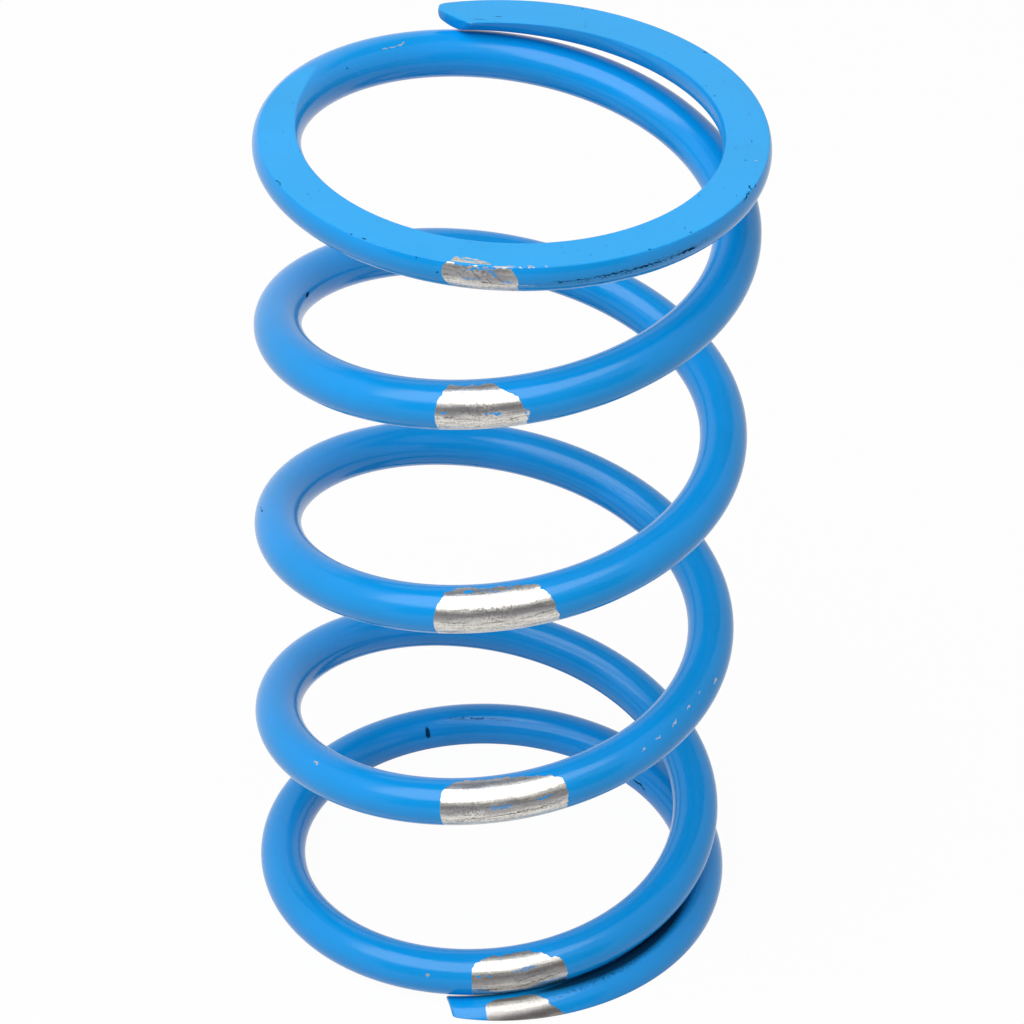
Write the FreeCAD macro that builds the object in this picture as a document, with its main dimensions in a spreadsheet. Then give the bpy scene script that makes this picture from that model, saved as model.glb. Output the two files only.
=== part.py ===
"""Compression spring of round steel wire, coiled right-handed, with both ends closed and ground flat.

Millimetres. The coil's axis is Z, the lower ground face lies on z = 0 and the upper one on
z = free_length. The wire starts at the lower tip, which is turned to the front, and every angle
along it is counted in degrees from a tip.
"""
import FreeCAD, Part
import math
import os

import Sketcher

Vector = FreeCAD.Vector

doc = FreeCAD.newDocument("coil_spring")

# Driving sizes

SIZES = {
    # the wire and the open coils
    "wire_diameter": 5.75,
    "outside_diameter": 60.0,
    "free_length": 110.0,
    "coil_sweep": 2003.5,
    "lower_tip_azimuth": -97.3,
    # the closed coils: how much of the wire is ground away, and how the tip leans on the next turn
    "lower_ground_depth": 1.705,
    "upper_ground_depth": 1.525,
    "tip_settle_sweep": 110.0,
    "lower_tip_gap": 0.28,
    "upper_tip_gap": 0.25,
    # where each end leaves its closed coil, and the angle over which it reaches the open pitch
    "lower_open_from": 266.8,
    "lower_open_over": 166.0,
    "upper_open_from": 231.4,
    "upper_open_over": 188.0,
    # the closed coils' radius: the lower one is wound a little tighter, and both tips stand out
    "lower_tuck": 0.65,
    "upper_tuck": -0.07,
    "tuck_sweep": 360.0,
    "tuck_release": 260.0,
    "lower_splay": 2.85,
    "lower_splay_sweep": 297.0,
    "upper_splay": 1.07,
    "upper_splay_sweep": 353.0,
    # the end faces: sheared askew, so that the upper one is longer at its outer side and the lower
    # one at its inner side, and rounded by the paint
    "offcut_length": 0.25,
    "offcut_play": 0.02,
    "lower_shear_angle": 20.0,
    "upper_shear_angle": 33.0,
    "tip_edge_radius": 0.4,
    # the wire's line is a chain of arcs, each about this long
    "arc_sweep": 20.0,
}

sheet = doc.addObject("Spreadsheet::Sheet", "Sizes")
for row, (name, value) in enumerate(SIZES.items(), start=1):
    sheet.set(f"A{row}", name)
    sheet.set(f"B{row}", str(value))
    sheet.setAlias(f"B{row}", name)
doc.recompute()


def size(name):
    """A driving size, read back from the sheet."""
    return float(sheet.get(name))


# The wire's line

wire_radius = size("wire_diameter") / 2
coil_radius = size("outside_diameter") / 2 - wire_radius
free_length = size("free_length")
sweep = size("coil_sweep")


def opening(end, angle):
    """Degrees of full open pitch that lie between an end's closed coil and this angle."""
    start = size(end + "_open_from")
    over = size(end + "_open_over")
    eased = min(max(angle - start, 0.0), over)
    return eased * eased / (2 * over) + max(angle - start - over, 0.0)


def seat(end):
    """Height of a closed coil's centre over its own ground face."""
    return wire_radius - size(end + "_ground_depth")


def open_rise():
    """Rise of the open coils in mm for each degree, so that both ends meet halfway up."""
    between_seats = free_length - seat("lower") - seat("upper")
    return between_seats / (opening("lower", sweep / 2) + opening("upper", sweep / 2))


RISE = open_rise()


def spread(end, angle):
    """How far the wire's centre stands out from the open coils' radius, at an angle from its tip."""
    free = min(max((angle - size("tuck_sweep")) / size("tuck_release"), 0.0), 1.0)
    tuck = size(end + "_tuck") * (1 + math.cos(math.pi * free)) / 2
    near_tip = max(1 - angle / size(end + "_splay_sweep"), 0.0)
    return size(end + "_splay") * near_tip**2 - tuck


def tip_drop(end):
    """How far the tip is bent towards the ground face, so that it just clears the next turn."""
    aside = spread(end, 0.0) - spread(end, 360.0)
    apart = size("wire_diameter") + size(end + "_tip_gap")
    return math.sqrt(apart**2 - aside**2) - RISE * opening(end, 360.0)


def end_height(end, angle):
    """Height of the wire's centre over an end's ground face."""
    settle = max(1 - angle / size("tip_settle_sweep"), 0.0)
    return seat(end) - tip_drop(end) * settle**2 + RISE * opening(end, angle)


def line_point(angle):
    """The wire's centre at an angle from the lower tip."""
    from_top = sweep - angle
    if angle < from_top:
        height = end_height("lower", angle)
    else:
        height = free_length - end_height("upper", from_top)
    radius = coil_radius + spread("lower", angle) + spread("upper", from_top)
    turned = math.radians(angle)
    return Vector(radius * math.cos(turned), radius * math.sin(turned), height)


def spare(end):
    """Degrees by which the wire is coiled past a tip, so that the whole slant is cut in it."""
    slant = math.radians(size(end + "_shear_angle"))
    return math.degrees((wire_radius * math.tan(slant) + size("offcut_length")) / coil_radius)


def arc_between(first, last):
    """An arc through the coil's own points at two angles and halfway between them."""
    arc = Part.Arc(line_point(first), line_point((first + last) / 2), line_point(last))
    return arc.toShape()


def chain(first, last):
    """Arcs from one angle to another."""
    count = max(round((last - first) / size("arc_sweep")), 1)
    step = (last - first) / count
    return [arc_between(first + n * step, first + (n + 1) * step) for n in range(count)]


def longer(arc, before, after):
    """The same arc, drawn out at its ends by shares of its own length."""
    span = arc.LastParameter - arc.FirstParameter
    return arc.Curve.toShape(arc.FirstParameter - before * span, arc.LastParameter + after * span)


def line_object(name, arcs):
    """A stretch of line as an object that a pipe can follow."""
    line = doc.addObject("Part::Feature", name)
    line.Shape = Part.Wire(arcs)
    return line


# The wire is coiled a little longer than it ends up, with one arc across each tip, and an offcut
# that follows the same arc is sheared away
lower_spare = spare("lower")
upper_spare = spare("upper")
lower_arc = arc_between(-lower_spare, lower_spare)
upper_arc = arc_between(sweep - upper_spare, sweep + upper_spare)
open_arcs = chain(lower_spare, sweep - upper_spare)
coil_line = line_object("CoilLine", [lower_arc, *open_arcs, upper_arc])
lower_offcut_line = line_object("LowerOffcutLine", [longer(lower_arc, 0.02, 0.0)])
upper_offcut_line = line_object("UpperOffcutLine", [longer(upper_arc, 0.0, 0.02)])


def new_body(label):
    """An empty body."""
    made = doc.addObject("PartDesign::Body", label)
    made.Label = label
    return made


def attached(body, kind, name, role):
    """A feature or sketch laid on one of its body's own planes."""
    item = body.newObject(kind, name)
    plane = next(face for face in body.Origin.OriginFeatures if face.Role == role)
    item.AttachmentSupport = [(plane, "")]
    item.MapMode = "FlatFace"
    return item


def round_pipe(body, name, line, diameter):
    """Round wire along a line. Its section lies square to the line's start, its seam up and out."""
    start = line.Shape.Edges[0]
    point = start.valueAt(start.FirstParameter)
    heading = start.tangentAt(start.FirstParameter)
    squared = FreeCAD.Rotation(Vector(0, 0, -1), Vector(heading.x, heading.z, -heading.y))
    seam = FreeCAD.Rotation(Vector(0, 0, 1), 45)
    section = attached(body, "Sketcher::SketchObject", name + "Section", "XZ_Plane")
    section.AttachmentOffset = FreeCAD.Placement(
        Vector(point.x, point.z, -point.y), squared.multiply(seam)
    )
    section.addGeometry(Part.Circle(Vector(0, 0, 0), Vector(0, 0, 1), wire_radius), False)
    section.addConstraint(Sketcher.Constraint("Coincident", 0, 3, -1, 1))
    section.addConstraint(Sketcher.Constraint("Diameter", 0, size("wire_diameter")))
    section.renameConstraint(1, "wire")
    section.setExpression("Constraints.wire", diameter)
    pipe = body.newObject("PartDesign::AdditivePipe", name)
    pipe.Refine = False
    pipe.Profile = section
    pipe.Spine = (line, [])
    doc.recompute()
    return pipe


def offcut(label, line, tip_angle, past_tip, slant):
    """The piece sheared off at a tip: a hair thicker than the wire, and cut back to the shear plane."""
    piece = new_body(label)
    round_pipe(piece, label + "Pipe", line, "Sizes.wire_diameter + Sizes.offcut_play")
    block = attached(piece, "PartDesign::SubtractiveBox", label + "Shear", "XY_Plane")
    block.Refine = False
    turned = FreeCAD.Rotation(Vector(0, 0, 1), tip_angle + slant)
    reach = 2 * size("wire_diameter")
    corner = Vector(-reach, -reach if past_tip else 0, -reach)
    block.AttachmentOffset = FreeCAD.Placement(line_point(tip_angle) + turned.multVec(corner), turned)
    block.setExpression("Length", "4 * Sizes.wire_diameter")
    block.setExpression("Width", "2 * Sizes.wire_diameter")
    block.setExpression("Height", "4 * Sizes.wire_diameter")
    doc.recompute()
    return piece


lower_offcut = offcut("LowerOffcut", lower_offcut_line, 0.0, False, size("lower_shear_angle"))
upper_offcut = offcut("UpperOffcut", upper_offcut_line, sweep, True, -size("upper_shear_angle"))

# The spring

body = new_body("coil_spring")
coiled = round_pipe(body, "CoiledWire", coil_line, "Sizes.wire_diameter")
sheared = body.newObject("PartDesign::Boolean", "ShearedTips")
sheared.Type = "Cut"
sheared.Refine = False
sheared.addObjects([lower_offcut, upper_offcut])
doc.recompute()


def tip_rims(shape):
    """The names of the edges where the wire was sheared off."""
    names = []
    for number, edge in enumerate(shape.Edges, start=1):
        faces = shape.ancestorsOfType(edge, Part.Face)
        if any(face.Surface.TypeId == "Part::GeomPlane" for face in faces):
            names.append(f"Edge{number}")
    return names


# Sheared ends, with the burr rounded off
rounded = body.newObject("PartDesign::Fillet", "RoundedTips")
rounded.Refine = False
rounded.Base = (sheared, tip_rims(sheared.Shape))
rounded.setExpression("Radius", "Sizes.tip_edge_radius")
doc.recompute()


def grind(name, height, upwards):
    """Takes off all that stands past a ground face."""
    wheel = attached(body, "Sketcher::SketchObject", name + "Wheel", "XY_Plane")
    wheel.addGeometry(Part.Circle(Vector(0, 0, 0), Vector(0, 0, 1), coil_radius), False)
    wheel.addConstraint(Sketcher.Constraint("Coincident", 0, 3, -1, 1))
    wheel.addConstraint(Sketcher.Constraint("Diameter", 0, size("outside_diameter")))
    wheel.renameConstraint(1, "wheel")
    wheel.setExpression("Constraints.wheel", "Sizes.outside_diameter + 4 * Sizes.wire_diameter")
    wheel.setExpression("AttachmentOffset.Base.z", height)
    cut = body.newObject("PartDesign::Pocket", name)
    cut.Refine = False
    cut.Profile = wheel
    cut.Type = "Length"
    cut.setExpression("Length", "2 * Sizes.wire_diameter")
    cut.Reversed = upwards
    doc.recompute()
    return cut


grind("LowerGrind", "0", False)
grind("UpperGrind", "Sizes.free_length", True)
body.Placement = FreeCAD.Placement(
    Vector(0, 0, 0), FreeCAD.Rotation(Vector(0, 0, 1), size("lower_tip_azimuth"))
)
body.setExpression("Placement.Rotation.Angle", "Sizes.lower_tip_azimuth")
doc.recompute()

# Tests before writing

for item in doc.Objects:
    if "Invalid" in item.State or "Error" in item.State:
        raise RuntimeError(f"{item.Name} did not build: {item.State}")
if body.Shape.isNull() or not body.Shape.isValid():
    raise RuntimeError("the spring's shape is not valid")

wire_volume = math.pi * wire_radius**2 * coil_line.Shape.Length
if abs(coiled.Shape.Volume / wire_volume - 1) > 0.002:
    raise RuntimeError("the coiled wire's volume is not its section times its length")
for end in ("lower", "upper"):
    print(end, "tip height", round(end_height(end, 0.0), 3), "one turn on", round(end_height(end, 360.0), 3))
print("open pitch", round(RISE * 360, 3), "turns", round(sweep / 360, 3))
print("wire volume", round(coiled.Shape.Volume, 1), "ground", round(body.Shape.Volume, 1))
box = body.Shape.optimalBoundingBox()
print("height", round(box.ZMin, 4), round(box.ZMax, 4), "solids", len(body.Shape.Solids))
print("across", round(box.XMin, 2), round(box.XMax, 2), round(box.YMin, 2), round(box.YMax, 2))

os.makedirs("parts", exist_ok=True)
body.Shape.exportStep(os.path.join("parts", body.Label + ".step"))
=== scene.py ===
# %% [markdown]
# # A clutch spring in blue paint
# The object is one compression spring: round steel wire, coiled right-handed, with both ends
# closed and ground flat, then dipped in gloss blue paint and dabbed with silver on each turn.
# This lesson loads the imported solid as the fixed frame, builds a finer surface for it from the same
# rule, paints it, and lights it in a white studio.

import math

import bpy
from mathutils import Matrix, Vector


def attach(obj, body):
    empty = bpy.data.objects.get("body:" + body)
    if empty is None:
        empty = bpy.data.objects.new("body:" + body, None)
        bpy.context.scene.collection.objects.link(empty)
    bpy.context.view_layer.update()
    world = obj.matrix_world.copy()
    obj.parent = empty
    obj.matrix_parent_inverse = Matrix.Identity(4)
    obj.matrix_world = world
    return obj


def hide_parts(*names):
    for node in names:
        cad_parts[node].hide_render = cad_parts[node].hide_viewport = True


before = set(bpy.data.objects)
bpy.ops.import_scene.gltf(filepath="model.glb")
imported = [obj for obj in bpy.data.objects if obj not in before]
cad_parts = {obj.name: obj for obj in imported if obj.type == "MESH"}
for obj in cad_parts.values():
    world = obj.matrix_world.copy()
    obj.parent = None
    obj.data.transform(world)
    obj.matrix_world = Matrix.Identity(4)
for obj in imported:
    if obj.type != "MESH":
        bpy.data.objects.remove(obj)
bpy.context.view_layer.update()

# %% [markdown]
# The spring follows one rule from tip to tip, so all its sizes are in one place. They are in
# millimetres and degrees, and each angle is counted along the wire from a tip. Blender works in
# metres, so there is one factor between them.

# %% Sizes of the spring
MM = 0.001
WIRE_DIAMETER = 5.75
OUTSIDE_DIAMETER = 60.0
FREE_LENGTH = 110.0
COIL_SWEEP = 2003.5
LOWER_TIP_AZIMUTH = -97.3
TIP_SETTLE_SWEEP = 110.0
TUCK_SWEEP = 360.0
TUCK_RELEASE = 260.0
LOWER = {
    "seat": 1.17,
    "open_from": 266.8,
    "open_over": 166.0,
    "tuck": 0.65,
    "splay": 2.85,
    "splay_sweep": 297.0,
    "tip_gap": 0.28,
    "shear_angle": 20.0,
}
UPPER = {
    "seat": 1.35,
    "open_from": 231.4,
    "open_over": 188.0,
    "tuck": -0.07,
    "splay": 1.07,
    "splay_sweep": 353.0,
    "tip_gap": 0.25,
    "shear_angle": 33.0,
}
WIRE_RADIUS = WIRE_DIAMETER / 2
COIL_RADIUS = OUTSIDE_DIAMETER / 2 - WIRE_RADIUS
print("turns:", round(COIL_SWEEP / 360, 3))

# %% [markdown]
# Geometry Nodes can follow a formula, but a formula of forty Math nodes is hard to read. This small
# class stands for a value in a node tree. Each sign between two of them adds a Math node, so the
# rule can be written as a rule and still ends up as nodes that anyone can open and change.


# %% Formulas that write themselves as nodes
class Field:
    """A number in a node tree, one for each point, that can be reckoned with."""

    def __init__(self, tree, socket):
        self.tree = tree
        self.socket = socket

    def math(self, operation, *others, clamp=False):
        node = self.tree.nodes.new("ShaderNodeMath")
        node.operation = operation
        node.use_clamp = clamp
        for slot, value in zip(node.inputs, (self, *others)):
            if isinstance(value, Field):
                self.tree.links.new(value.socket, slot)
            else:
                slot.default_value = value
        return Field(self.tree, node.outputs[0])

    def __add__(self, other):
        return self.math("ADD", other)

    def __mul__(self, other):
        return self.math("MULTIPLY", other)

    def __sub__(self, other):
        return self.math("SUBTRACT", other)

    def __rsub__(self, other):
        return (self * -1.0) + other

    def __truediv__(self, other):
        return self.math("DIVIDE", other)

    def __rtruediv__(self, other):
        return self.math("POWER", -1.0) * other


def at_least(field, limit):
    return field.math("MAXIMUM", limit)


def at_most(field, limit):
    return field.math("MINIMUM", limit)


def between(field, low, high):
    return at_most(at_least(field, low), high)


def share(field, start, end):
    """0 before start, 1 after end, and a straight line between."""
    return ((field - start) / (end - start)).math("ADD", 0.0, clamp=True)


def sine(degrees):
    return degrees.math("RADIANS").math("SINE")


def cosine(degrees):
    return degrees.math("RADIANS").math("COSINE")


def choose(test, yes, no):
    """yes where test is 1, no where it is 0."""
    return test * yes + (1.0 - test) * no


# %% [markdown]
# The rule itself. Each end starts as a closed coil, lying low over its ground face, then opens bit by
# bit to the full pitch. The tip is bent down until it clears the next turn by a hair, and springs a
# little outwards, as the last bit of a wire does when it leaves the coiling machine.


# %% The wire's line as a rule
def opened(end, angle):
    eased = between(angle - end["open_from"], 0.0, end["open_over"])
    past = at_least(angle - end["open_from"] - end["open_over"], 0.0)
    return eased * eased / (2 * end["open_over"]) + past


def opened_number(end, angle):
    """The same as opened, for a plain number."""
    eased = min(max(angle - end["open_from"], 0.0), end["open_over"])
    past = max(angle - end["open_from"] - end["open_over"], 0.0)
    return eased**2 / (2 * end["open_over"]) + past


RISE = (FREE_LENGTH - LOWER["seat"] - UPPER["seat"]) / (
    opened_number(LOWER, COIL_SWEEP / 2) + opened_number(UPPER, COIL_SWEEP / 2)
)


def tip_drop(end):
    apart = WIRE_DIAMETER + end["tip_gap"]
    return math.sqrt(apart**2 - end["splay"] ** 2) - RISE * opened_number(end, 360.0)


def spread(end, angle):
    release = share(angle, TUCK_SWEEP, TUCK_SWEEP + TUCK_RELEASE)
    tuck = (cosine(release * 180.0) + 1.0) * (end["tuck"] / 2)
    near_tip = at_least(1.0 - angle / end["splay_sweep"], 0.0)
    return near_tip * near_tip * end["splay"] - tuck


def end_height(end, angle):
    settle = at_least(1.0 - angle / TIP_SETTLE_SWEEP, 0.0)
    return opened(end, angle) * RISE + end["seat"] - settle * settle * tip_drop(end)


def height(angle):
    from_top = COIL_SWEEP - angle
    lower_half = angle.math("LESS_THAN", COIL_SWEEP / 2)
    return choose(lower_half, end_height(LOWER, angle), FREE_LENGTH - end_height(UPPER, from_top))


def radius(angle):
    return spread(LOWER, angle) + spread(UPPER, COIL_SWEEP - angle) + COIL_RADIUS


print("open pitch:", round(RISE * 360, 2), "mm")

# %% [markdown]
# A point of the surface is given by an angle along the wire and an angle around it, from the
# underside (-90) through the outer side (0) to the top (90). Where the wire has been ground, the
# ray from the middle of what is left of the section stops at the grinding plane instead of the
# circle. The two are blended over a tenth of a millimetre, because a painted edge is never sharp.

# %% The ground section
EDGE_SOFTNESS = 0.09
GROUND_EDGE = (-0.02, 0.05)
SLOPE_STEP = 0.5
LEAST_SINE = 0.001


def change(rule, angle):
    """How much a height or a radius grows for each radian along the wire."""
    return (rule(angle + SLOPE_STEP) - rule(angle - SLOPE_STEP)) / (2 * math.radians(SLOPE_STEP))


def section_middle(z):
    """How far the middle of the ground section lies above the wire's own centre."""
    low = at_least((WIRE_RADIUS - z) * 0.5, 0.0)
    high = at_least((z - (FREE_LENGTH - WIRE_RADIUS)) * 0.5, 0.0)
    return low - high


def section(angle, around, inset):
    """The ground section at an angle: its numbers, and the offsets of a point on its outline."""
    z = height(angle)
    ring = radius(angle)
    slope = change(height, angle)
    flare = change(radius, angle)
    run = (ring * ring + slope * slope + flare * flare).math("SQRT")
    climb_cos = ring / run
    middle = section_middle(z)
    c, s = cosine(around), sine(around)
    to_circle = (WIRE_RADIUS**2 - middle * middle * c * c).math("SQRT") - middle * s - inset
    to_floor = (z / climb_cos + middle) / at_least(s * -1.0, LEAST_SINE)
    to_ceiling = ((FREE_LENGTH - z) / climb_cos - middle) / at_least(s, LEAST_SINE)
    to_plane = at_most(to_floor, to_ceiling)
    reach = to_circle.math("SMOOTH_MIN", to_plane, EDGE_SOFTNESS)
    return {
        "z": z,
        "ring": ring,
        "climb_sin": slope / run,
        "climb_cos": climb_cos,
        "flare": flare / run,
        "middle": middle,
        "out": reach * c,
        "rise": reach * s,
        "ground": share(to_circle - to_plane, *GROUND_EDGE),
    }


# %% [markdown]
# The section stands square to the wire, which climbs and flares. So a point's two offsets are first
# tilted with the climb, and the result is then turned about the spring's axis to its own azimuth.

# %% From two angles to a place
def surface_point(tree, angle, around, line):
    """Place of a surface point, with the local offsets that the paint is laid out by."""
    cut = section(angle, around, line["inset"])
    forward = line["forward"]
    out = cut["out"] * line["fill"]
    up = cut["rise"] * line["fill"]
    rise = up + cut["middle"]
    theta = angle + LOWER_TIP_AZIMUTH
    across = cut["climb_cos"] * forward - cut["climb_sin"] * rise
    from_axis = cut["ring"] + out + cut["flare"] * forward
    x = from_axis * cosine(theta) - across * sine(theta)
    y = from_axis * sine(theta) + across * cosine(theta)
    z = between(cut["z"] + rise * cut["climb_cos"] + cut["climb_sin"] * forward, 0.0, FREE_LENGTH)
    place = add(tree, "ShaderNodeCombineXYZ", X=x * MM, Y=y * MM, Z=z * MM)
    return place.outputs[0], out, up, cut["ground"]


# %% [markdown]
# Some steps come back in every tree: a new tree with named inputs, a node with its settings, a value
# kept on the points, and the run of a finished tree on an empty mesh, which leaves a plain mesh.


# %% Helpers for the trees
def new_tree(name, inputs):
    """A Geometry Nodes tree with named number inputs and one geometry output."""
    tree = bpy.data.node_groups.new(name, "GeometryNodeTree")
    tree.interface.new_socket("Geometry", in_out="OUTPUT", socket_type="NodeSocketGeometry")
    kinds = {int: "NodeSocketInt", float: "NodeSocketFloat"}
    for label, value in inputs.items():
        socket = tree.interface.new_socket(label, in_out="INPUT", socket_type=kinds[type(value)])
        socket.default_value = value
    return tree, tree.nodes.new("NodeGroupInput")


def add(tree, kind, settings=None, **links):
    """Adds a node, sets its properties and fills its inputs from values or sockets."""
    node = tree.nodes.new(kind)
    for name, value in (settings or {}).items():
        setattr(node, name, value)
    for name, value in links.items():
        slot = node.inputs[name.replace("_", " ")]
        if isinstance(value, Field):
            value = value.socket
        if isinstance(value, bpy.types.NodeSocket):
            tree.links.new(value, slot)
        else:
            slot.default_value = value
    return node


def store(tree, geometry, name, field):
    node = add(tree, "GeometryNodeStoreNamedAttribute", {"data_type": "FLOAT"}, Geometry=geometry, Name=name)
    tree.links.new(field.socket, node.inputs["Value"])
    return node.outputs["Geometry"]


def grown(name, tree, values):
    """Runs a tree on an empty mesh and returns the result as a plain mesh object."""
    seed_object = bpy.data.objects.new(name + "_seed", bpy.data.meshes.new(name + "_seed"))
    bpy.context.collection.objects.link(seed_object)
    modifier = seed_object.modifiers.new("rule", "NODES")
    modifier.node_group = tree
    for item in tree.interface.items_tree:
        if item.in_out == "INPUT" and item.name in values:
            modifier[item.identifier] = values[item.name]
    evaluated = seed_object.evaluated_get(bpy.context.evaluated_depsgraph_get())
    mesh = bpy.data.meshes.new_from_object(evaluated)
    seed_object.modifiers.remove(modifier)
    bpy.data.objects.remove(seed_object)
    piece = bpy.data.objects.new(name, mesh)
    bpy.context.collection.objects.link(piece)
    mesh.calc_loop_triangles()
    print(name, "triangles:", len(mesh.loop_triangles))
    return piece


# %% [markdown]
# The spring's surface starts as a plain grid, and the tree only moves its points. One way of the grid
# runs along the wire: the first rows close the end face, the next round its rim, then the wire
# follows, and the far tip mirrors the near one.

# %% Rows along the wire
wire_inputs = {"Rows": 1085, "Columns": 88}
FACE_ROWS = 3
RIM_ROWS = 5
TIP_ROWS = FACE_ROWS + RIM_ROWS
TIP_EDGE_RADIUS = 0.4
RIM_SWEEP = math.degrees(TIP_EDGE_RADIUS / COIL_RADIUS)


def along_wire(row, rows):
    """Where a row lies along the wire, and how the face and the rim of a tip draw it in."""
    nearest = at_most(row, rows - row)
    upper_end = row.math("GREATER_THAN", rows * 0.5)
    roll = share(nearest, FACE_ROWS, TIP_ROWS) * 90.0
    on_wire = share(nearest, TIP_ROWS - 1.0, TIP_ROWS)
    wire_angle = share(row, TIP_ROWS, rows - TIP_ROWS) * (COIL_SWEEP - 2 * RIM_SWEEP) + RIM_SWEEP
    into_wire = (1.0 - cosine(roll)) * TIP_EDGE_RADIUS
    return {
        "nearest": nearest,
        "upper_end": upper_end,
        "angle": choose(on_wire, wire_angle, upper_end * COIL_SWEEP),
        "fill": share(nearest, 0.0, FACE_ROWS),
        "inset": (1.0 - sine(roll)) * TIP_EDGE_RADIUS,
        "forward": (1.0 - on_wire) * into_wire * choose(upper_end, -1.0, 1.0),
    }


# %% [markdown]
# The other way of the grid runs around the wire. The edges of the ground faces wander across the
# section as the wire comes out of the grinding plane, so a band of columns follows each of them. The
# edge is then a line of the mesh, and it catches the light cleanly.

# %% Columns around the wire
SHALLOW_CREASE = 20.0
CREASE_BAND = 2.2
LOW_BAND_COLUMNS = (29.0, 45.0)
HIGH_BAND_COLUMNS = (135.0, 151.0)


def crease_angle(z, middle, climb_cos):
    """Angle at the section's middle between straight down (or up) and the edge of the ground face."""
    to_plane = z / climb_cos + middle
    half_width = at_least(WIRE_RADIUS**2 - (z / climb_cos) * (z / climb_cos), 0.0).math("SQRT")
    crease = half_width.math("ARCTAN2", to_plane).math("DEGREES")
    return at_least(crease, SHALLOW_CREASE)


def around_wire(turn, angle):
    """Where a column lies around the wire, half a turn each side of straight down."""
    z = height(angle)
    climb = change(height, angle) / radius(angle)
    climb_cos = 1.0 / (climb * climb + 1.0).math("SQRT")
    middle = section_middle(z)
    low_crease = crease_angle(z, middle, climb_cos)
    high_crease = crease_angle(FREE_LENGTH - z, middle * -1.0, climb_cos)
    half = at_most(turn, 360.0 - turn)
    low_part = share(half, 0.0, LOW_BAND_COLUMNS[0]) * (low_crease - CREASE_BAND)
    low_band = share(half, *LOW_BAND_COLUMNS) * (2 * CREASE_BAND)
    side_width = 180.0 - low_crease - high_crease - 2 * CREASE_BAND
    side = share(half, LOW_BAND_COLUMNS[1], HIGH_BAND_COLUMNS[0]) * side_width
    high_band = share(half, *HIGH_BAND_COLUMNS) * (2 * CREASE_BAND)
    high_part = share(half, HIGH_BAND_COLUMNS[1], 180.0) * (high_crease - CREASE_BAND)
    from_below = low_part + low_band + side + high_band + high_part
    return choose(turn.math("GREATER_THAN", 180.0), 360.0 - from_below, from_below) - 90.0


# %% [markdown]
# The coiling machine shears the wire off, and its blade doesn't stand square. The outer side of the
# wire is the longer one at the upper tip and the shorter one at the lower tip. The upper tip's outer
# corner is also knocked back, and its underside is cut under a little. The slant fades out over the
# first few rows of the wire.

# %% Sheared tips
SHEAR_ROWS = 12
KNOCKED_FROM = 1.1
KNOCKED_BACK = 0.6
UNDERCUT_FROM = 0.6
UNDERCUT = 0.2


def sheared(line, around):
    """The angle along the wire once the tips are slanted."""
    cut = section(line["angle"], around, line["inset"])
    out = cut["out"] * line["fill"]
    slants = [math.tan(math.radians(end["shear_angle"])) for end in (UPPER, LOWER)]
    knocked = at_least(out - KNOCKED_FROM, 0.0)
    below = at_least(UNDERCUT_FROM - cut["rise"] * line["fill"], 0.0)
    lost = knocked * knocked * KNOCKED_BACK + below * UNDERCUT
    shift = out * choose(line["upper_end"], *slants) - line["upper_end"] * lost
    fade = 1.0 - share(line["nearest"], TIP_ROWS, TIP_ROWS + SHEAR_ROWS)
    return line["angle"] + (shift * fade / COIL_RADIUS).math("DEGREES")


# %% [markdown]
# Cycles has room for only so many nodes in one material, and most of the wire has no marks at all. So
# the same paint is built once for each stretch of wire, with only the marks that lie there. These
# are the stretches, from and to an angle along the wire; the rest of the wire is plain.

# %% Stretches of the wire
STRETCHES = {
    "lower_end": (-10.0, 110.0),
    "first_dab": (350.0, 400.0),
    "second_dab": (705.0, 760.0),
    "third_dab": (1062.0, 1112.0),
    "fourth_dab": (1424.0, 1462.0),
    "fifth_dab": (1785.0, 1865.0),
    "upper_end": (1865.5, 2020.0),
}


def stretch_of(row):
    """The stretch that a table's row lies on, by its own angle or that of its first corner."""
    angle = row[0][0] if isinstance(row, list) else row[0]
    for name, (start, end) in STRETCHES.items():
        if start <= angle <= end:
            return name
    return "plain"


# %% [markdown]
# Now the tree itself. It also keeps four numbers on each point, because the paint is laid out by
# them: the angle along the wire, the offsets out and up in the section, and where it is ground.

# %% The wire's surface as a tree
WELD = 1e-6


def finish_tree(tree, geometry, coats):
    """Closes the seams, shades smooth, and ends in Realize Instances and Set Material.

    The plain coat goes on everything, then each stretch of the wire gets its own."""
    coil_angle = Field(tree, add(tree, "GeometryNodeInputNamedAttribute", Name="coil_angle").outputs[0])
    welded = add(tree, "GeometryNodeMergeByDistance", Geometry=geometry, Distance=WELD)
    smooth = add(tree, "GeometryNodeSetShadeSmooth", Geometry=welded.outputs[0])
    real = add(tree, "GeometryNodeRealizeInstances", Geometry=smooth.outputs[0])
    dressed = add(tree, "GeometryNodeSetMaterial", Geometry=real.outputs[0], Material=coats["plain"])
    for name, (start, end) in STRETCHES.items():
        inside = coil_angle.math("GREATER_THAN", start) * coil_angle.math("LESS_THAN", end)
        dressed = add(
            tree,
            "GeometryNodeSetMaterial",
            Geometry=dressed.outputs[0],
            Selection=inside,
            Material=coats[name],
        )
    out = tree.nodes.new("NodeGroupOutput")
    tree.links.new(dressed.outputs[0], out.inputs[0])


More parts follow.
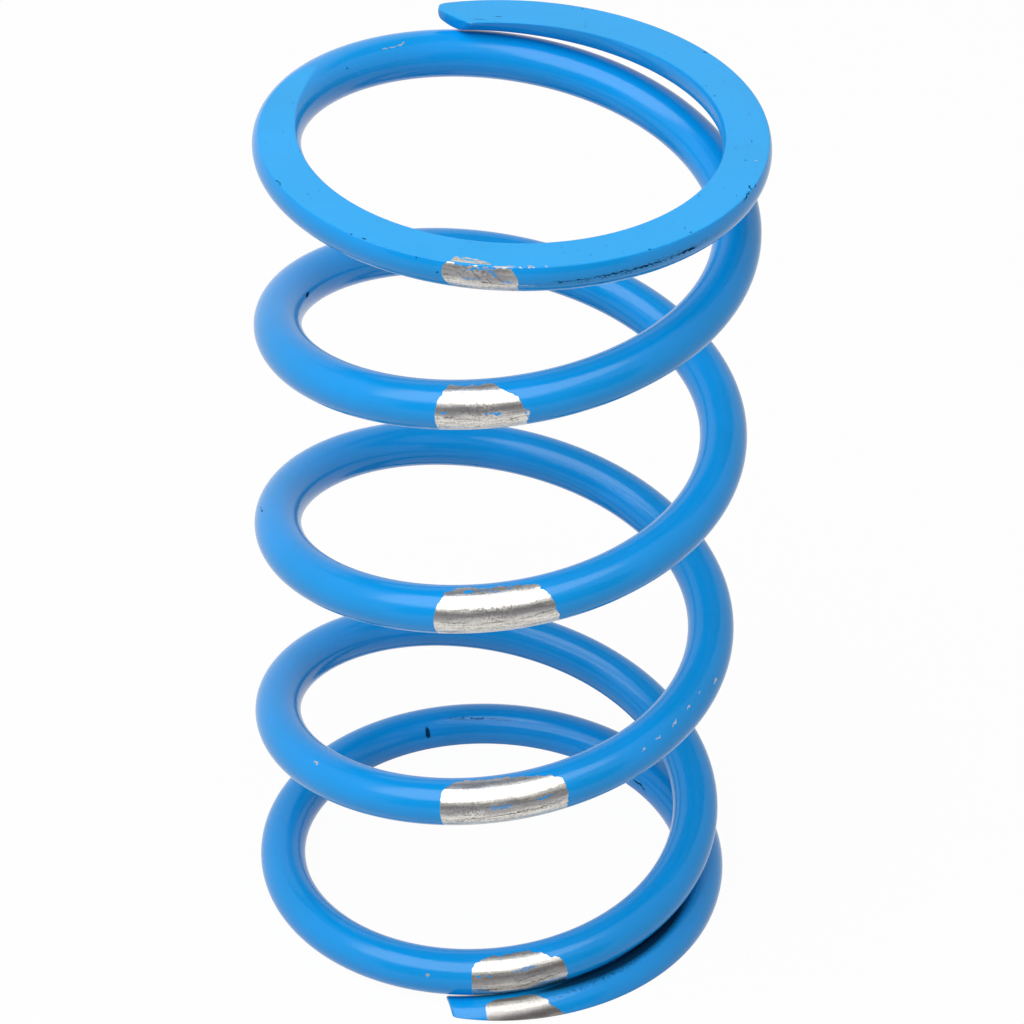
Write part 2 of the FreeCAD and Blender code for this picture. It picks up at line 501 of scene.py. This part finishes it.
def wire_tree(coats):
    tree, entry = new_tree("Ground spring wire", wire_inputs)
    rows = Field(tree, entry.outputs["Rows"])
    columns = Field(tree, entry.outputs["Columns"])
    grid = add(
        tree, "GeometryNodeMeshGrid", Size_X=1.0, Size_Y=1.0, Vertices_X=rows + 1.0, Vertices_Y=columns + 1.0
    )
    position = tree.nodes.new("GeometryNodeInputPosition").outputs[0]
    split = add(tree, "ShaderNodeSeparateXYZ", Vector=position)
    line = along_wire((Field(tree, split.outputs[0]) + 0.5) * rows, rows)
    around = around_wire((Field(tree, split.outputs[1]) + 0.5) * 360.0, line["angle"])
    angle = sheared(line, around)
    place, out, up, ground = surface_point(tree, angle, around, line)
    geometry = grid.outputs["Mesh"]
    kept = {"coil_angle": angle, "wire_out": out, "wire_up": up, "ground": ground}
    for name, field in kept.items():
        geometry = store(tree, geometry, name, field)
    moved = add(tree, "GeometryNodeSetPosition", Geometry=geometry, Position=place)
    finish_tree(tree, moved.outputs[0], coats)
    return tree


# %% [markdown]
# The blue looks like a dipped enamel: one thick, glossy coat with a faint orange peel, and no clear
# coat above it. On each turn somebody has dabbed aluminium paint with a wide brush, always at the
# same side, most likely to tell one kind of spring from another. Both are one skin on one wire, so
# they are one material.
# The paint is laid out in two lengths in millimetres, along the wire and around it, reckoned from
# what the tree kept on the points. So a chip is as large as it is written, wherever it lies.

# %% Colour and pattern helpers
ALONG_MM = math.radians(1.0) * COIL_RADIUS
AROUND_MM = math.radians(1.0) * WIRE_RADIUS
EVEN = (1.0, 1.0, 1.0)
print("a degree is", round(ALONG_MM, 3), "mm along and", round(AROUND_MM, 3), "mm around")


def linear(code):
    """A colour written as sRGB hex, as the linear values that a shader works with."""
    parts = [int(code[place : place + 2], 16) / 255 for place in (1, 3, 5)]
    bright = [part / 12.92 if part <= 0.04045 else ((part + 0.055) / 1.055) ** 2.4 for part in parts]
    return (*bright, 1.0)


def attribute(tree, name):
    return Field(tree, add(tree, "ShaderNodeAttribute", {"attribute_name": name}).outputs["Fac"])


def nothing(tree):
    return Field(tree, tree.nodes.new("ShaderNodeValue").outputs[0])


def noise(tree, vector, size_mm, detail=2.0, stretch=EVEN):
    """Noise with lumps of a size in millimetres, from a vector in millimetres."""
    scaled = add(tree, "ShaderNodeVectorMath", {"operation": "MULTIPLY"}, Vector=vector)
    scaled.inputs[1].default_value = [1.0 / (size_mm * part) for part in stretch]
    return add(tree, "ShaderNodeTexNoise", Vector=scaled.outputs[0], Scale=1.0, Detail=detail)


def lumps(tree, vector, size_mm, detail=2.0, stretch=EVEN):
    """The strength of a noise, as a number from 0 to 1."""
    return Field(tree, noise(tree, vector, size_mm, detail, stretch).outputs["Fac"])


def blend(tree, amount, first, second):
    """A colour between two, each a socket or a linear colour."""
    mix = add(tree, "ShaderNodeMix", {"data_type": "RGBA"}, Factor=amount)
    for slot, colour in ((6, first), (7, second)):
        if isinstance(colour, bpy.types.NodeSocket):
            tree.links.new(colour, mix.inputs[slot])
        else:
            mix.inputs[slot].default_value = colour
    return mix.outputs[2]


# %% [markdown]
# A mark is an ellipse on the skin: a Mapping node brings its middle to zero and its rim to one, so
# the length of the vector says how far out a point lies. A brush mark is a shape with straight
# sides, each side one dot product. Where a brush lifts off, its line is laid out on a shaken skin.

# %% Spots and brush marks
CORE = 0.75
RIM = 1.15
DAB_CORNER = 0.5
DAB_EDGE = (-0.04, 0.05)
RAGGED_END = 0.3
RAGGED_TOP = 0.5


def spot(tree, skin, row, core):
    """1 in the core of an ellipse on the skin; a row with no turn lies along the wire."""
    angle, around, length, width, *turn = row
    local = add(tree, "ShaderNodeMapping", {"vector_type": "TEXTURE"}, Vector=skin)
    local.inputs["Location"].default_value = (angle * ALONG_MM, around * AROUND_MM, 0.0)
    local.inputs["Rotation"].default_value = (0.0, 0.0, math.radians(sum(turn)))
    local.inputs["Scale"].default_value = (length / 2, width / 2, 1.0)
    far = add(tree, "ShaderNodeVectorMath", {"operation": "LENGTH"}, Vector=local.outputs[0])
    return 1.0 - share(Field(tree, far.outputs["Value"]), core, RIM)


def spots(tree, skin, table, core=CORE):
    whole = nothing(tree)
    for row in table:
        whole = at_least(whole, spot(tree, skin, row, core))
    return whole


def dab(tree, clean, ragged, corners):
    """1 inside a brush mark given by its corners; the brush leaves it ragged to the right and on top."""
    middle = [sum(values) / len(corners) for values in zip(*corners)]
    points = [((a - middle[0]) * ALONG_MM, (r - middle[1]) * AROUND_MM) for a, r in corners]
    base = (middle[0] * ALONG_MM, middle[1] * AROUND_MM)
    outside = None
    for (x0, y0), (x1, y1) in zip(points, points[1:] + points[:1]):
        length = math.hypot(x1 - x0, y1 - y0)
        normal = ((y1 - y0) / length, (x0 - x1) / length)
        if normal[0] * x0 + normal[1] * y0 < 0:
            normal = (-normal[0], -normal[1])
        limit = normal[0] * (x0 + base[0]) + normal[1] * (y0 + base[1])
        lifts_off = normal[0] > RAGGED_END or normal[1] > RAGGED_TOP
        across = add(
            tree, "ShaderNodeVectorMath", {"operation": "DOT_PRODUCT"}, Vector=ragged if lifts_off else clean
        )
        across.inputs[1].default_value = (*normal, 0.0)
        past = Field(tree, across.outputs["Value"]) - limit
        outside = past if outside is None else outside.math("SMOOTH_MAX", past, DAB_CORNER)
    return 1.0 - share(outside, *DAB_EDGE)


# %% [markdown]
# Where the paint has marks and wounds, each is one line of a table: angle along the wire, angle
# around it, length and width in millimetres, and often a turn. A dab is a list of its corners, and
# the topmost dab is two lists, because the edge of the ground face runs through it. The places were
# measured on a picture of the spring, so a chip there can be found here by its place.

# %% Marks and wear as tables
DABS = [
    [(1794.0, 36), (1793.6, 5), (1795.0, -20), (1797.8, -80), (1812.5, -80), (1811.0, -30), (1810.2, 36)],
    [(1795.4, 43), (1796.0, 58), (1798.5, 62), (1802.0, 55), (1804.5, 44)],
    [(1432.9, -80), (1432.8, 5), (1434.1, 55), (1436.1, 81), (1446.2, 82.5), (1448.6, 70),
     (1451.2, 45), (1453.2, 10), (1453.6, -12), (1452.0, -80)],
    [(1073.8, -80), (1073.6, 5), (1075.0, 55), (1078.2, 94.5), (1094.0, 88), (1098.6, 76), (1100.8, 50),
     (1101.6, 15), (1102.2, -80)],
    [(716.5, -80), (716.3, 10), (716.9, 66), (719.3, 94.5), (731.6, 101), (742.6, 78), (746.0, 60),
     (746.6, 25), (745.0, -80)],
    [(364.8, -80), (364.8, 10), (365.2, 58), (368.8, 82.5), (380.0, 84), (384.8, 60), (387.8, 38),
     (388.6, 15), (388.6, -80)],
    [(8.4, 82), (8.8, 30), (7.2, 0), (6.4, -70), (29.9, -70), (26.7, -22.5), (23.1, 61.5), (22.1, 82)],
]
PINHOLES = [
    (1435.0, 14, 0.8, 0.3), (1444.4, 8, 0.4, 0.3), (1445.8, 9.5, 0.8, 0.25), (1447.0, 6, 0.8, 0.35),
    (1082.0, 80, 1.5, 0.5), (1085.0, 85, 0.5, 0.25), (1086.8, 86, 0.3, 0.25), (1092.6, 87, 1.7, 0.16, 50),
    (741.6, 24, 1.6, 0.25, 12), (740.0, 20, 0.6, 0.25), (366.8, 28, 0.6, 0.4), (369.5, 28, 0.5, 0.4),
    (1801.2, 32, 2.8, 0.2, 4), (1799.0, 53, 2.6, 0.25, -8), (1805.2, 22, 1.0, 0.25, -35),
]
THIN_PAINT = [
    (378.4, 36, 3.2, 0.4, 8), (730.9, 17, 2.6, 0.5), (1808.0, 5, 1.4, 0.4), (1800.2, 8, 2.0, 0.2),
    (1440.0, 80, 2.0, 0.3), (1088.0, 75, 2.6, 0.2, -8), (1804.0, 30, 1.2, 0.4),
]
DARK_LINES = [
    (1797.6, 18, 0.7, 0.22, -35), (1801.6, 15, 0.9, 0.25, -40), (1804.0, 8, 1.2, 0.2, -40),
    (1806.4, 12, 1.1, 0.24, -30), (1794.8, 13, 0.5, 0.3), (1803.0, 3, 0.8, 0.2, 10),
    (731.0, -7, 13.0, 0.12, 3), (720.8, -20, 1.0, 0.2), (742.4, 2, 4.0, 0.12, 8), (736.0, -2, 3.0, 0.1, 6),
    (381.6, -2, 5.4, 0.2, 10), (368.8, -11, 3.0, 0.16, -4), (380.0, 14, 4.4, 0.14, 9),
    (1097.4, 3, 3.4, 0.12, 6), (1078.4, 1, 3.4, 0.12), (1087.0, -3, 3.0, 0.1),
    (1442.0, -28, 0.9, 0.16), (1450.4, -9, 1.4, 0.14, 10), (1436.0, 3, 1.6, 0.12),
]
BLACK_SPOTS = [
    (1792.8, 13.5, 0.3, 0.3), (1771.6, 40.5, 0.3, 0.2), (1774.8, 41.5, 0.35, 0.25), (1788.0, 39, 0.3, 0.2),
    (1744.8, 43.5, 1.1, 0.18), (1872.0, 38.5, 2.0, 0.16, 10), (1875.6, 44, 0.9, 0.22, 25),
    (1877.0, 39, 0.4, 0.2), (1886.8, 87, 0.25, 0.25), (1840.0, 42, 0.25, 0.25), (1852.0, 64, 0.9, 0.1, 60),
    (1822.0, 4.5, 4.0, 0.12, 1), (1830.0, 6.5, 5.0, 0.16, 2), (1839.0, 7.5, 4.5, 0.26),
    (1849.5, 8, 3.5, 0.28), (1345.2, 157, 1.6, 0.5), (1002.8, 48, 0.5, 0.4), (1001.0, 45, 0.25, 0.25),
    (207.8, 168, 0.8, 2.3, 4), (133.2, -175, 3.0, 0.3), (1680.0, 141, 0.3, 0.3),
    (1999.6, -158, 0.7, 0.5), (1996.6, 150, 1.6, 0.12), (1991.5, 139, 1.2, 0.12),
]
BARE_STEEL = [
    (1665.0, 122, 0.9, 0.16), (1662.6, 122.5, 1.0, 0.2), (1659.8, 118.5, 1.3, 0.26, 20),
    (354.2, 27, 0.5, 0.4), (796.2, 30, 0.8, 0.3), (767.4, 39, 0.7, 0.14, 10), (772.4, 42, 0.8, 0.18, 10),
    (778.4, 45, 1.3, 0.2, 12), (784.4, 48, 0.8, 0.14, 12), (789.9, 51, 0.6, 0.16, 12),
    (680.2, 57, 0.8, 0.4), (1807.0, 40, 2.2, 0.3), (1810.8, 40.5, 0.4, 0.25), (1812.8, 41, 0.7, 0.3),
    (1816.2, 41, 0.35, 0.2), (1999.6, 161, 0.3, 0.25), (1887.2, 60, 0.22, 0.2), (1812.0, -4, 1.8, 0.16),
]
POOLS = [(1443.0, 22, 4.2, 2.2), (1087.0, 26, 5.6, 2.4), (724.0, 12, 6.0, 1.4), (1801.0, 20, 4.0, 1.6)]
# soot on the lowest coil, partly painted shade in the narrow gap under the next turn
SOOT_AND_SHADE = [(34.0, 88, 16.0, 3.6, 2), (54.0, 90, 32.0, 4.0, 5)]
GRIT = [(46.0, 55, 34.0, 2.0, 5), (192.0, 136, 13.0, 0.8, -4), (1836.0, 5, 24.0, 1.0, 2)]
print("marks:", len(DABS), "brush marks,", len(BARE_STEEL), "chips and", len(BLACK_SPOTS), "black spots")

# %% [markdown]
# The skin of the wire, as a material sees it. Its clean layout gives sharp shapes, a ragged one the
# torn edge of a brush stroke, and a crumbly one the broken rim of a chip. Noise that has to run on
# over the whole wire without a seam is laid out in space instead.

# %% The skin in a material
class Skin:
    """The layouts of one stretch of skin, in millimetres, and the rows of the tables on it."""

    def __init__(self, tree, stretch):
        self.tree = tree
        self.stretch = stretch
        self.coil_angle = attribute(tree, "coil_angle")
        self.around = attribute(tree, "wire_up").math("ARCTAN2", attribute(tree, "wire_out")).math("DEGREES")
        self.ground = attribute(tree, "ground")
        flat = add(tree, "ShaderNodeCombineXYZ", X=self.coil_angle * ALONG_MM, Y=self.around * AROUND_MM)
        self.clean = flat.outputs[0]
        metres = tree.nodes.new("ShaderNodeTexCoord").outputs["Object"]
        space = add(tree, "ShaderNodeVectorMath", {"operation": "SCALE"}, Vector=metres, Scale=1 / MM)
        self.space = space.outputs[0]
        self.ragged = self.shaken(1.2, 0.8, 3.0)
        self.crumbly = self.shaken(0.5, 0.35)

    def shaken(self, size_mm, reach_mm, detail=2.0):
        """The clean layout with its lines pushed about, which makes an edge ragged."""
        push = noise(self.tree, self.space, size_mm, detail).outputs["Color"]
        centred = add(self.tree, "ShaderNodeVectorMath", {"operation": "MULTIPLY_ADD"}, Vector=push)
        centred.inputs[1].default_value = (2 * reach_mm, 2 * reach_mm, 0.0)
        centred.inputs[2].default_value = (-reach_mm, -reach_mm, 0.0)
        both = add(self.tree, "ShaderNodeVectorMath", {"operation": "ADD"}, Vector=self.clean)
        self.tree.links.new(centred.outputs[0], both.inputs[1])
        return both.outputs[0]

    def here(self, table):
        return [row for row in table if stretch_of(row) == self.stretch]

    def marks(self, table, core=CORE):
        return spots(self.tree, self.crumbly, self.here(table), core)


def silver_share(skin):
    """1 where the dabs lie, 0 in their pinholes, and less than 1 where the brush ran thin."""
    silver = nothing(skin.tree)
    for corners in skin.here(DABS):
        silver = at_least(silver, dab(skin.tree, skin.clean, skin.ragged, corners))
    silver = silver * (1.0 - skin.marks(PINHOLES))
    return silver * (1.0 - skin.marks(THIN_PAINT) * 0.6)


# %% [markdown]
# Aluminium paint is flake in a thin binder. The brush drags the flake into streaks along the wire,
# and where the paint pooled it dried to a coarse grain. A painted reflection of the darker room lies
# as grey on the belly of the wire and on its upper side, so the eye sees bright metal between two grey
# bands.

# %% Aluminium paint
STREAK_MM = 0.22
GRAIN_MM = 0.28
RIPPLE_MM = 1.1
RIPPLE = 34.0
LOW_COIL_LEAN = 22.0
DARK_BAND_FACING = 17.0
DARK_BAND_EDGE = (4.0, 22.0)
UPPER_SIDE = (68.0, 76.0)
# how far the two lowest dabs are darkened towards grey: painted shade from the coils above them
LOW_DAB_SHADE = {"lower_end": 0.55, "first_dab": 0.3}


def flake_colour(skin, streaks, grain):
    pooled = spots(skin.tree, skin.clean, skin.here(POOLS), core=0.3)
    flake = (streaks - 0.5) * 1.1 + (grain - 0.5) * (pooled * 3.0 + 0.7) + 0.5
    ramp = add(skin.tree, "ShaderNodeValToRGB", Fac=flake)
    stops = ((0.22, "#A5A19B"), (0.62, "#E6E3DC"))
    for element, (position, code) in zip(ramp.color_ramp.elements, stops):
        element.position = position
        element.color = linear(code)
    return ramp.outputs[0]


def aluminium_paint(skin, streaks, grain):
    tree = skin.tree
    coat = flake_colour(skin, streaks, grain)
    coat = blend(tree, skin.marks(DARK_LINES) * 0.8, coat, linear("#3B342E"))
    # the lowest coil leans outwards, so its painted dark band lies further round
    lean = (1.0 - share(skin.coil_angle, 40.0, 60.0)) * LOW_COIL_LEAN
    ripple = lumps(tree, skin.clean, RIPPLE_MM, 2.0, (2.2, 1.0, 1.0))
    facing = skin.around + lean + (ripple - 0.5) * RIPPLE
    dark_reflection_band = 1.0 - share((facing - DARK_BAND_FACING).math("ABSOLUTE"), *DARK_BAND_EDGE)
    painted_reflection_greys = at_least(dark_reflection_band, share(facing, *UPPER_SIDE) * 0.6)
    # painted reflection: grey on the belly and the upper side, where the wire would mirror the darker room
    coat = blend(tree, painted_reflection_greys * 0.75, coat, linear("#85848A"))
    # painted shade: the two lowest dabs are mixed towards dark grey
    return blend(tree, LOW_DAB_SHADE.get(skin.stretch, 0.0), coat, linear("#6E6A66"))


# %% [markdown]
# The blue is a little uneven over a coil's width, and paler on the ground faces, which is painted
# light: the flat top stands lit under the softbox. Chips show bare steel, black specks and soot have
# settled in the gaps, and fine grit clings to the paint beside them.

# %% Blue enamel, its dirt and painted shade
CLOUD_MM = 9.0
SPECK_MM = 0.35
SPECK_EDGE = (0.705, 0.73)


def blue_enamel(skin, chips):
    tree = skin.tree
    cloud = lumps(tree, skin.space, CLOUD_MM, 2.0)
    blue = blend(tree, share(cloud, 0.3, 0.7), linear("#038AD1"), linear("#058EDA"))
    # painted light: the ground faces are tinted paler, as a flat top lit from above
    blue = blend(tree, skin.ground * 0.07, blue, linear("#30F0FF"))
    return blend(tree, chips * 0.75, blue, linear("#C2BCAE"))


def dirt_and_shade(skin, grain):
    """1 where the skin is black: specks, soot with painted shade above the lowest coil, grit and a dust that
    lies mostly on the ground faces.
    """
    tree = skin.tree
    specks = lumps(tree, skin.clean, SPECK_MM, 2.0, (2.4, 1.0, 1.0))
    dust = share(specks, *SPECK_EDGE) * (skin.ground * 0.7 + 0.06)
    # soot over the lowest coil, partly painted shade in the narrow gap under the next turn
    crevice_soot_and_shade = spots(tree, skin.shaken(0.3, 0.25), skin.here(SOOT_AND_SHADE), core=0.55)
    grit = spots(tree, skin.clean, skin.here(GRIT), core=0.2) * share(grain, 0.5, 0.6)
    black = at_least(skin.marks(BLACK_SPOTS), dust)
    return at_least(at_least(black, crevice_soot_and_shade), grit * 0.75)


# %% [markdown]
# All of it meets in one Principled shader. The enamel is smooth and mirrors the softbox as a clean
# band. Metal paint is duller, a chip duller still, and the black of soot and painted crevice shade has
# almost no shine. The orange peel and the brush's grooves are heights in millimetres, which a Bump
# node turns into a wavy reflection.

# %% One shader for the skin
GLOSS = 0.19
SHINE = 0.3
PEEL_MM = 1.3
PEEL_HEIGHT = 0.008
BRUSH_HEIGHT = 0.0012


def enamel(stretch):
    material = bpy.data.materials.new("gloss_blue_dipped_enamel_" + stretch)
    material.use_nodes = True
    tree = material.node_tree
    shader = tree.nodes["Principled BSDF"]
    skin = Skin(tree, stretch)
    streaks = lumps(tree, skin.clean, STREAK_MM, 3.0, (14.0, 1.0, 1.0))
    grain = lumps(tree, skin.space, GRAIN_MM, 1.0)
    silver = silver_share(skin)
    chips = skin.marks(BARE_STEEL)
    black = dirt_and_shade(skin, grain)
    # the black of specks, grit and soot over the blue; the soot is partly painted crevice shade
    blue = blend(tree, black * 0.9, blue_enamel(skin, chips), linear("#0A1422"))
    peel = lumps(tree, skin.space, PEEL_MM, 1.0)
    relief = peel * PEEL_HEIGHT + (streaks + grain) * BRUSH_HEIGHT
    bump = add(tree, "ShaderNodeBump", Height=relief, Strength=1.0, Distance=MM)
    looks = {
        "Base Color": blend(tree, silver, blue, aluminium_paint(skin, streaks, grain)),
        "Metallic": at_least(silver, chips * 0.5).socket,
        "Roughness": (silver * 0.17 + chips * 0.2 + black * 0.3 + GLOSS).socket,
        "Specular IOR Level": ((1.0 - black) * SHINE).socket,
        "Normal": bump.outputs[0],
    }
    for name, socket in looks.items():
        tree.links.new(socket, shader.inputs[name])
    return material


# %% [markdown]
# With the coats ready, the tree grows the spring. The new surface then takes the place of the imported
# solid, and it is told which body it rides on.

# %% The spring
coats = {name: enamel(name) for name in ["plain", *STRETCHES]}
spring = grown("spring_wire", wire_tree(coats), wire_inputs)
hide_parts("coil_spring")
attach(spring, "root")

# %% [markdown]
# The camera stands a little over half a metre off and looks down on the spring through a long lens,
# so the lowest coil looks only about a tenth smaller than the top one. Its focal length is written
# in pixels of a picture 1024 pixels wide, and it leans over by two degrees.

# %% Camera
SENSOR_MM = 36.0
PICTURE_PIXELS = 1024
FOCAL_PIXELS = 4633.37
CAMERA_PLACE = (0.00172, -0.46635, 0.38566)
CAMERA_PITCH = 35.3
CAMERA_ROLL = -1.985
FARTHEST_SEEN = 20.0
camera_data = bpy.data.cameras.new("camera")
camera_data.sensor_width = SENSOR_MM
camera_data.lens = SENSOR_MM * FOCAL_PIXELS / PICTURE_PIXELS
camera_data.clip_end = FARTHEST_SEEN
camera = bpy.data.objects.new("camera", camera_data)
bpy.context.collection.objects.link(camera)
bpy.context.scene.camera = camera
camera.location = CAMERA_PLACE
camera.rotation_mode = "XYZ"
turn_down = Matrix.Rotation(math.radians(90 - CAMERA_PITCH), 4, "X")
lean_over = Matrix.Rotation(math.radians(-CAMERA_ROLL), 4, "Z")
camera.rotation_euler = (turn_down @ lean_over).to_euler()
print("lens:", round(camera_data.lens, 1), "mm")

# %% [markdown]
# The studio is a white table in a grey room. Rays that show a surface, straight or mirrored, see
# both as plain white. The light that falls on the spring comes from their darker, real greys, so
# the blue isn't washed out.

# %% Stage helpers
def looked_at(tree):
    """1 for rays that show a surface: straight from the camera, mirrored, or through glass."""
    path = tree.nodes.new("ShaderNodeLightPath")
    kinds = [Field(tree, path.outputs[f"Is {kind} Ray"]) for kind in ("Camera", "Glossy", "Transmission")]
    return at_most(kinds[0] + kinds[1] + kinds[2], 1.0)


def matt(name, code, roughness):
    """A dull material with no mirror shine."""
    material = bpy.data.materials.new(name)
    material.use_nodes = True
    shader = material.node_tree.nodes["Principled BSDF"]
    shader.inputs["Base Color"].default_value = linear(code)
    shader.inputs["Roughness"].default_value = roughness
    shader.inputs["Specular IOR Level"].default_value = 0.0
    return material


def sheet(name, corners, material):
    """A flat piece of the stage, from its four corners."""
    mesh = bpy.data.meshes.new(name)
    mesh.from_pydata(corners, [], [(0, 1, 2, 3)])
    mesh.materials.append(material)
    piece = bpy.data.objects.new(name, mesh)
    bpy.context.collection.objects.link(piece)
    return piece


# %% [markdown]
# The table is a flat sheet under the spring. It is almost all glow to the camera, and the small part
# that is real matt white keeps a trace of the spring's shadow.

# %% White table
CORNERS = ((-1, -1), (1, -1), (1, 1), (-1, 1))
TABLE_HALF = 3.0
TABLE_GLOW = 0.965
white = matt("matt_white_table", "#D1D1D1", 0.9)
sheet("floor", [(TABLE_HALF * a, TABLE_HALF * b, 0.0) for a, b in CORNERS], white)
tree = white.node_tree
glow = add(tree, "ShaderNodeEmission", Color=linear("#FFFFFF"), Strength=1.0)
mix = add(tree, "ShaderNodeMixShader", Fac=looked_at(tree) * TABLE_GLOW)
tree.links.new(tree.nodes["Principled BSDF"].outputs[0], mix.inputs[1])
tree.links.new(glow.outputs[0], mix.inputs[2])
tree.links.new(mix.outputs[0], tree.nodes["Material Output"].inputs["Surface"])

# %% [markdown]
# The room is the world's background. It fills the shadows evenly from all sides.

# %% Grey room
ROOM_LEVEL = 0.4
world = bpy.data.worlds.new("grey_room")
bpy.context.scene.world = world
world.use_nodes = True
air = world.node_tree.nodes["Background"]
air.inputs["Color"].default_value = linear("#FFFFFF")
strength = looked_at(world.node_tree) * (1.0 - ROOM_LEVEL) + ROOM_LEVEL
world.node_tree.links.new(strength.socket, air.inputs["Strength"])

# %% [markdown]
# One wide softbox hangs above the table, a little to the camera's side and to the left. It is what
# draws the bright band along each coil.

# %% Softbox
SOFTBOX_SIZE = (1.12, 1.0)
SOFTBOX_FAR = 0.9
SOFTBOX_RADIANCE = 3.35
SOFTBOX_WAY = Vector((-0.27, -0.36, 0.9)).normalized()
MIDDLE = Vector((0, 0, FREE_LENGTH * MM / 2))
softbox_data = bpy.data.lights.new("softbox", "AREA")
softbox_data.shape = "RECTANGLE"
softbox_data.size, softbox_data.size_y = SOFTBOX_SIZE
softbox_data.energy = SOFTBOX_RADIANCE * math.pi * SOFTBOX_SIZE[0] * SOFTBOX_SIZE[1]
softbox = bpy.data.objects.new("softbox", softbox_data)
bpy.context.collection.objects.link(softbox)
softbox.location = MIDDLE + SOFTBOX_WAY * SOFTBOX_FAR
softbox.rotation_mode = "QUATERNION"
softbox.rotation_quaternion = SOFTBOX_WAY.to_track_quat("Z", "Y")
print("softbox power:", round(softbox_data.energy, 2), "W")

# %% [markdown]
# A round wire mirrors the whole room. Two grey flags stand in it, one behind the camera and one
# behind the softbox, as a photographer would put them. They keep the blue deep beside its highlight
# and darken the aluminium paint there too.

# %% Grey flags
FLAG_FAR = 1.0
FLAGS = {
    "front_flag": {"elevation": 17.0, "wide": 2.4, "tall": 0.75},
    "rear_flag": {"elevation": 118.0, "wide": 1.5, "tall": 0.66},
}
felt = matt("grey_felt_flag", "#ADADAD", 1.0)
for name, size in FLAGS.items():
    lift = math.radians(size["elevation"])
    centre = MIDDLE + Vector((0, -math.cos(lift), math.sin(lift))) * FLAG_FAR
    side = Vector((size["wide"] / 2, 0, 0))
    up = Vector((0, math.sin(lift), math.cos(lift))) * (size["tall"] / 2)
    flag = sheet(name, [centre + side * a + up * b for a, b in CORNERS], felt)
    flag.visible_camera = False

# %% [markdown]
# The last cell keeps the colours as they were written.

# %% Finish
bpy.context.scene.view_settings.view_transform = "Standard"
